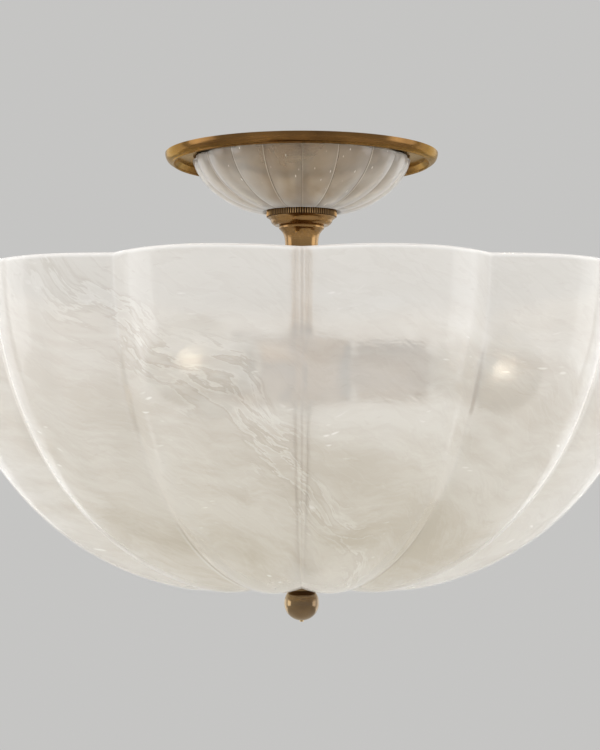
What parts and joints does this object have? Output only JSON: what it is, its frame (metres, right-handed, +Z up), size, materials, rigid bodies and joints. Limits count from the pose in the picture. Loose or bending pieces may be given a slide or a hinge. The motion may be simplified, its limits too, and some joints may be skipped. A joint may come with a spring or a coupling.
{
  "type": "ceiling light",
  "caption": "Semi-flush ceiling light: fluted glass dome on a brass pan, large lobed glass bowl hung below on a rod with a ball finial, bulbs on a hub inside",
  "frame": {"origin": "Centre of the ceiling strap's upper face, in the plane of the ceiling and on the stem's axis", "axes": "+Z up into the ceiling; +X along the strap, from one outlet box screw to the other and along the first socket; the front faces -Y"},
  "size_m": [0.495, 0.495, 0.3355],
  "materials": {
    "plated_steel": "zinc-plated steel, satin",
    "green_steel": "green-coated screw, semi-gloss",
    "brass": "polished warm brass, slightly aged",
    "knurled_brass": "straight-knurled brass, darker in the grooves",
    "dark_brass": "dark antique brass",
    "finial_brass": "mirror-polished brass",
    "plain_brass": "bright stamped brass",
    "bulb_metal": "bright aluminium screw base",
    "black_glass": "glossy black glass insulator",
    "frosted_glass": "frosted white envelope",
    "white_ceramic": "off-white porcelain, matte",
    "gasket_rubber": "soft dark rubber",
    "clear_glass": "clear fluted glass, polished",
    "strie_glass": "cast glass with cloudy streaks and small bubbles, translucent white"
  },
  "bodies": {
    "fixture": {"ceiling_strap": "plated_steel", "ground_screw": "green_steel", "stem_tube": "brass", "strap_locknut": "plated_steel", "canopy_pan": "brass", "pan_washer": "plated_steel", "pan_locknut": "plated_steel", "stem_flare": "brass", "hub_body": "brass", "hub_locknut": "plated_steel", "hub_cap": "brass", "cap_screws": "brass", "socket_nipples": "plated_steel", "socket_nuts": "plated_steel", "socket_cup_1": "brass", "socket_cup_2": "brass", "socket_cup_3": "brass", "socket_core_1": "white_ceramic", "socket_core_2": "white_ceramic", "socket_core_3": "white_ceramic", "screw_shell_1": "plain_brass", "screw_shell_2": "plain_brass", "screw_shell_3": "plain_brass", "socket_contacts": "plain_brass", "lower_rod": "brass", "rod_nuts": "plated_steel", "stop_nut": "brass", "stop_washer": "brass"},
    "canopy_glass": {"glass_dome": "clear_glass", "collar_gasket": "gasket_rubber", "rim_gasket": "gasket_rubber"},
    "collar": {"knurled_collar": "knurled_brass", "flange_ring": "brass", "trumpet_neck": "brass"},
    "bulb_foot_1": {"bulb_foot_1": "black_glass"},
    "bulb_1": {"bulb_base_1": "bulb_metal", "bulb_glass_1": "frosted_glass"},
    "bulb_foot_2": {"bulb_foot_2": "black_glass"},
    "bulb_2": {"bulb_base_2": "bulb_metal", "bulb_glass_2": "frosted_glass"},
    "bulb_foot_3": {"bulb_foot_3": "black_glass"},
    "bulb_3": {"bulb_base_3": "bulb_metal", "bulb_glass_3": "frosted_glass"},
    "bowl": {"inner_rubber": "gasket_rubber", "glass_bowl": "strie_glass", "outer_rubber": "gasket_rubber"},
    "washer": {"finial_washer": "dark_brass"},
    "finial": {"ball_finial": "finial_brass", "finial_tip": "plain_brass"}
  },
  "joints": [
    {"name": "canopy_lower", "type": "slide", "parent": "fixture", "child": "canopy_glass", "axis": [0, 0, -1], "range_m": [0, 0.032]},
    {"name": "collar_turn", "type": "hinge", "parent": "canopy_glass", "child": "collar", "pos_m": [0, 0, -0.05], "axis": [0, 0, -1], "range_deg": [0, 12000]},
    {"name": "bulb_1_travel", "type": "slide", "parent": "fixture", "child": "bulb_foot_1", "axis": [1, 0, 0], "range_m": [0, 0.026]},
    {"name": "bulb_1_turn", "type": "hinge", "parent": "bulb_foot_1", "child": "bulb_1", "pos_m": [0.08, 0, -0.154], "axis": [1, 0, 0], "range_deg": [0, 2560]},
    {"name": "bulb_2_travel", "type": "slide", "parent": "fixture", "child": "bulb_foot_2", "axis": [-0.5, 0.866, 0], "range_m": [0, 0.026]},
    {"name": "bulb_2_turn", "type": "hinge", "parent": "bulb_foot_2", "child": "bulb_2", "pos_m": [-0.04, 0.06928, -0.154], "axis": [-0.5, 0.866, 0], "range_deg": [0, 2560]},
    {"name": "bulb_3_travel", "type": "slide", "parent": "fixture", "child": "bulb_foot_3", "axis": [-0.5, -0.866, 0], "range_m": [0, 0.026]},
    {"name": "bulb_3_turn", "type": "hinge", "parent": "bulb_foot_3", "child": "bulb_3", "pos_m": [-0.04, -0.06928, -0.154], "axis": [-0.5, -0.866, 0], "range_deg": [0, 2560]},
    {"name": "bowl_lower", "type": "slide", "parent": "fixture", "child": "bowl", "axis": [0, 0, -1], "range_m": [0, 0.235]},
    {"name": "finial_travel", "type": "slide", "parent": "bowl", "child": "washer", "axis": [0, 0, -1], "range_m": [0, 0.0125]},
    {"name": "finial_turn", "type": "hinge", "parent": "washer", "child": "finial", "pos_m": [0, 0, -0.317], "axis": [0, 0, -1], "range_deg": [0, 3480]}
  ],
  "couplings": [
    {"joint": "canopy_lower", "follows": "collar_turn", "m_per_rad": 0.00014975},
    {"joint": "bulb_1_travel", "follows": "bulb_1_turn", "m_per_rad": 0.00057757},
    {"joint": "bulb_2_travel", "follows": "bulb_2_turn", "m_per_rad": 0.00057757},
    {"joint": "bulb_3_travel", "follows": "bulb_3_turn", "m_per_rad": 0.00057757},
    {"joint": "finial_travel", "follows": "finial_turn", "m_per_rad": 0.00020213}
  ]
}
